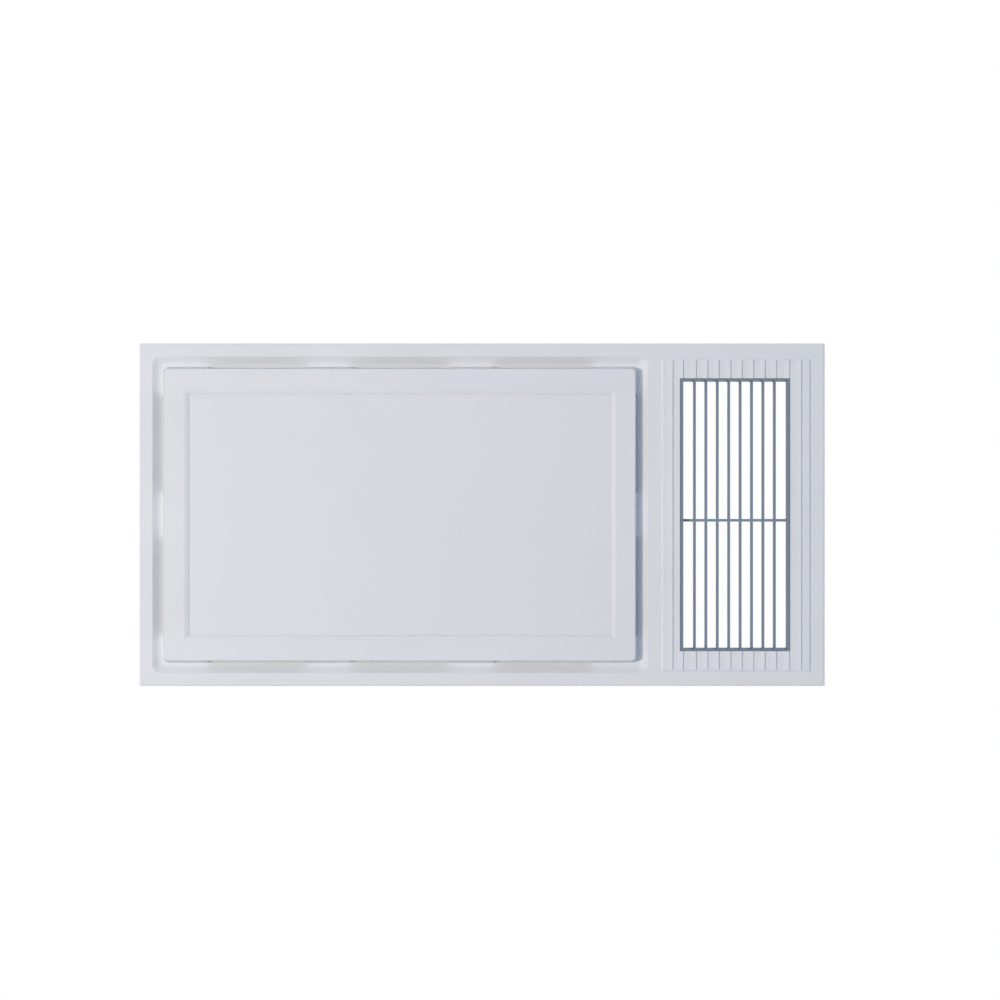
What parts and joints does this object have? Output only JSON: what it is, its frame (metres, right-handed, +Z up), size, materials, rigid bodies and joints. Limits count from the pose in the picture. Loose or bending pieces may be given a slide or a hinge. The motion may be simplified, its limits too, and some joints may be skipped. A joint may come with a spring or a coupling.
{
  "type": "ceiling heater",
  "caption": "Rectangular ceiling fan heater: a face with a raised light panel beside a ribbed field with a barred outlet, under a sheet-metal casing with an extract spigot.",
  "frame": {"origin": "middle of the ceiling plane, in the plane of the face's rim, which lies against the ceiling", "axes": "+Z up into the ceiling void, +X along the long side from the lamp to the outlet, +Y across; the face looks down, along -Z"},
  "size_m": [0.6, 0.3, 0.1864],
  "materials": {
    "white_abs": "satin",
    "opal_acrylic": "satin",
    "clear_acrylic": "polished",
    "white_film": "matte",
    "tray_aluminium": "satin",
    "blue_grey_abs": "satin",
    "slate_abs": "satin",
    "galvanised_steel": "satin",
    "spring_steel": "satin",
    "black_nylon": "matte",
    "grey_nylon": "matte",
    "foam_rubber": "matte",
    "circuit_board": "satin",
    "brass": "satin",
    "heater_ceramic": "matte"
  },
  "bodies": {
    "housing": {"blower_scroll": "grey_nylon", "cable_gland": "black_nylon", "control_board": "circuit_board", "control_box": "black_nylon", "control_cover": "black_nylon", "damper_bush_1": "black_nylon", "damper_bush_2": "black_nylon", "damper_motor": "grey_nylon", "damper_stop": "galvanised_steel", "extract_collar": "galvanised_steel", "fan_deck": "galvanised_steel", "gland_nut": "black_nylon", "hanger_bracket_1": "galvanised_steel", "hanger_bracket_2": "galvanised_steel", "hanger_bracket_3": "galvanised_steel", "hanger_bracket_4": "galvanised_steel", "heater_element_1": "heater_ceramic", "heater_element_2": "heater_ceramic", "heater_fins_1": "tray_aluminium", "heater_fins_2": "tray_aluminium", "heater_fins_3": "tray_aluminium", "heater_frame": "black_nylon", "heater_terminals": "grey_nylon", "housing_shell": "galvanised_steel", "inlet_ring": "galvanised_steel", "led_driver": "white_abs", "motor_can": "tray_aluminium", "motor_plate": "galvanised_steel", "partition_plate": "galvanised_steel", "relay": "grey_nylon", "run_capacitor": "tray_aluminium", "terminal_block": "grey_nylon", "thermal_cutout": "black_nylon", "throat_plate": "galvanised_steel", "transition_duct": "grey_nylon"},
    "impeller": {"impeller": "black_nylon", "motor_shaft": "spring_steel", "impeller_nut": "brass"},
    "damper": {"damper_blade": "tray_aluminium", "damper_seal": "foam_rubber", "damper_shaft": "spring_steel"},
    "face": {"face_panel": "white_abs", "grille_sleeve": "slate_abs", "outlet_grille": "blue_grey_abs", "outlet_gasket": "foam_rubber", "face_spring_1": "spring_steel", "face_spring_2": "spring_steel", "face_spring_3": "spring_steel", "face_spring_4": "spring_steel"},
    "lamp": {"lamp_bezel": "white_abs", "lamp_diffuser": "opal_acrylic", "light_guide": "clear_acrylic", "reflector": "white_film", "led_strip_1": "white_film", "led_strip_2": "white_film", "lamp_tray": "tray_aluminium", "lamp_plug": "black_nylon"}
  },
  "joints": [
    {"name": "impeller_spin", "type": "hinge", "parent": "housing", "child": "impeller", "pos_m": [-0.07785, 0, 0.0856], "axis": [0, 0, 1], "continuous": true},
    {"name": "damper_swing", "type": "hinge", "parent": "housing", "child": "damper", "pos_m": [0.157, 0, 0.139], "axis": [0, -1, 0], "range_deg": [0, 90]},
    {"name": "face_release", "type": "slide", "parent": "housing", "child": "face", "axis": [0, 0, -1], "range_m": [0, 0.045]},
    {"name": "lamp_release", "type": "slide", "parent": "face", "child": "lamp", "axis": [0, 0, -1], "range_m": [0, 0.03]}
  ]
}
